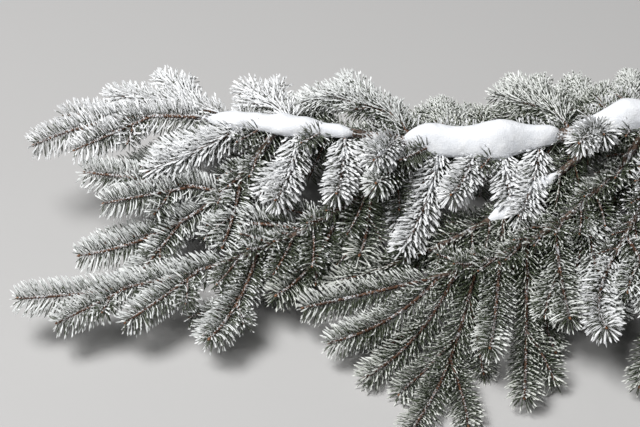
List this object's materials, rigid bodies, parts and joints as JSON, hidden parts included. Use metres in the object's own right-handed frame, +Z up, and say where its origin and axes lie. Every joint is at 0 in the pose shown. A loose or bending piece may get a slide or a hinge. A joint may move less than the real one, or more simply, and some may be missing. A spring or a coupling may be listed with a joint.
{
  "type": "frosted spruce branch",
  "caption": "Cut spruce branch lying down: tapering limb, side boughs and drooping sprays of short needles white with hoarfrost, with snow lying along the limb.",
  "frame": {"origin": "on the floor, under the middle of the branch's bounding box", "axes": "+Z up, +X along the limb towards its sawn face, -Y towards the side that the picture is taken from"},
  "size_m": [0.65, 0.5027, 0.1526],
  "materials": {
    "bark": "rough",
    "needles": "matte",
    "snow": "matte"
  },
  "bodies": {
    "root": {"limb": "bark", "bough_near_short": "bark", "bough_near_long": "bark", "bough_near_middle": "bark", "bough_near_front": "bark", "bough_near_butt": "bark", "bough_far_tip": "bark", "bough_far_middle": "bark", "bough_far_butt": "bark", "limb_leader": "needles", "limb_under_leader": "needles", "limb_far_leader": "needles", "limb_near_1": "needles", "limb_near_2": "needles", "limb_near_3": "needles", "limb_near_4": "needles", "limb_near_5": "needles", "limb_near_6": "needles", "limb_near_7": "needles", "limb_near_8": "needles", "limb_near_9": "needles", "limb_near_10": "needles", "limb_near_11": "needles", "limb_far_1": "needles", "limb_far_2": "needles", "limb_far_3": "needles", "near_short_1": "needles", "near_short_2": "needles", "near_short_3": "needles", "near_long_1": "needles", "near_long_2": "needles", "near_long_3": "needles", "near_long_4": "needles", "near_long_5": "needles", "near_middle_1": "needles", "near_middle_2": "needles", "near_front_1": "needles", "near_front_2": "needles", "near_front_3": "needles", "near_front_4": "needles", "near_front_5": "needles", "near_front_6": "needles", "near_front_7": "needles", "near_front_8": "needles", "near_butt_1": "needles", "near_butt_2": "needles", "near_butt_3": "needles", "near_butt_4": "needles", "far_tip_1": "needles", "far_tip_2": "needles", "far_middle_1": "needles", "far_middle_2": "needles", "far_butt_1": "needles", "far_butt_2": "needles", "far_butt_3": "needles", "snow_tip": "snow", "snow_middle": "snow", "snow_butt": "snow", "snow_bough": "snow"}
  },
  "joints": []
}
